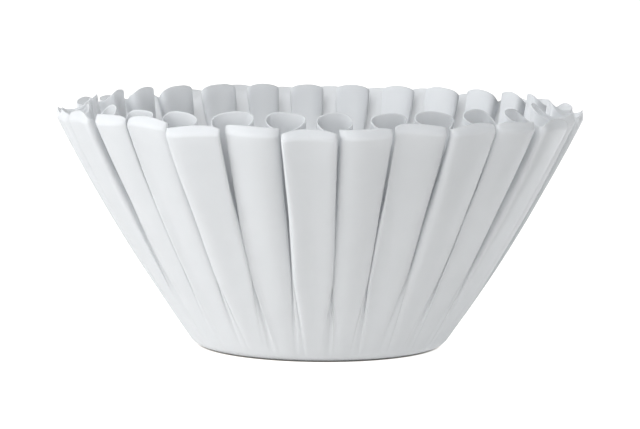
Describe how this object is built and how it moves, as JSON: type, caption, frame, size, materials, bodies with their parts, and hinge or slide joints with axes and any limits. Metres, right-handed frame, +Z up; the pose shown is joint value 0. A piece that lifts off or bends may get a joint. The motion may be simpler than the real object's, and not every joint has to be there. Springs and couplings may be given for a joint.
{
  "type": "paper coffee filter",
  "caption": "Open basket coffee filter of white paper, with a flat round bottom and a tall fluted wall that flares out to an uneven scalloped rim.",
  "frame": {"origin": "middle of the flat bottom, on the plane that the filter stands on", "axes": "+Z up through the open mouth, -Y towards the viewer, +X to the viewer's right"},
  "size_m": [0.1055, 0.1031, 0.0499],
  "materials": {
    "filter_paper": "matt, soft bleached filter paper with a fine fibre grain"
  },
  "bodies": {
    "root": {"filter_paper": "filter_paper"}
  },
  "joints": []
}
